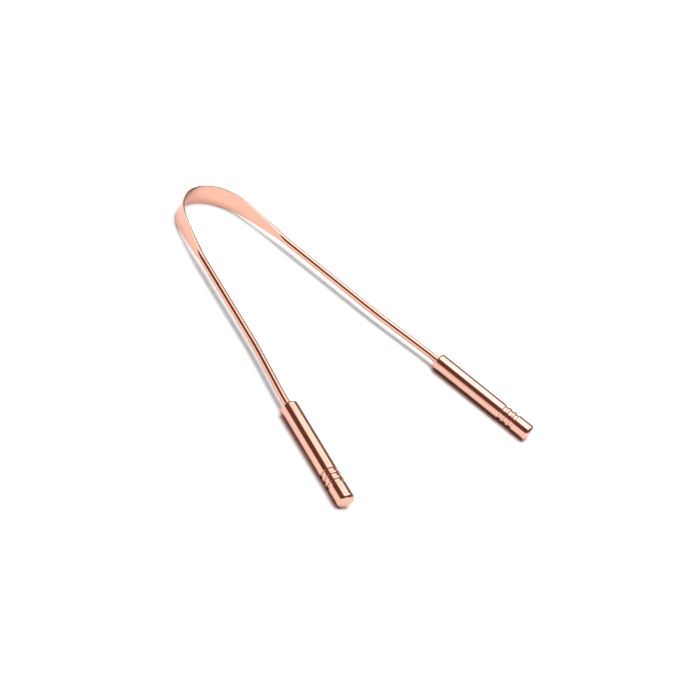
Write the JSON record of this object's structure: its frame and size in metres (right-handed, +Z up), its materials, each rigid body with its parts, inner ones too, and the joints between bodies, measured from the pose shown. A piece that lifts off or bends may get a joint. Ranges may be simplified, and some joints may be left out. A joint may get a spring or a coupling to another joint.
{
  "type": "tongue scraper",
  "caption": "Springy copper tongue scraper: a rod bent to a U, its crown hammered into a thin arched scraping band, with slim turned and grooved handles pressed on its ends.",
  "frame": {"origin": "on the surface that the scraper lies on, under the middle of the space that it covers", "axes": "+Y from the handles towards the crown, +X across the arms to the right one, +Z up, along the scraping band's width"},
  "size_m": [0.0984, 0.1314, 0.0076],
  "materials": {
    "drawn_copper": "polished",
    "turned_copper": "polished, with fine turning marks"
  },
  "bodies": {
    "crown": {"scraping_band": "drawn_copper"},
    "left_side": {"left_arm": "drawn_copper", "left_handle": "turned_copper"},
    "right_side": {"right_arm": "drawn_copper", "right_handle": "turned_copper"}
  },
  "joints": [
    {"name": "left_flex", "type": "hinge", "parent": "crown", "child": "left_side", "pos_m": [-0.01508, 0.05476, 0.00373], "axis": [0, -0.0062, 1], "range_deg": [-6, 9], "stiffness_Nm_per_rad": 0.65},
    {"name": "right_flex", "type": "hinge", "parent": "crown", "child": "right_side", "pos_m": [0.01508, 0.05476, 0.00373], "axis": [0, 0.0062, -1], "range_deg": [-6, 9], "stiffness_Nm_per_rad": 0.65}
  ]
}
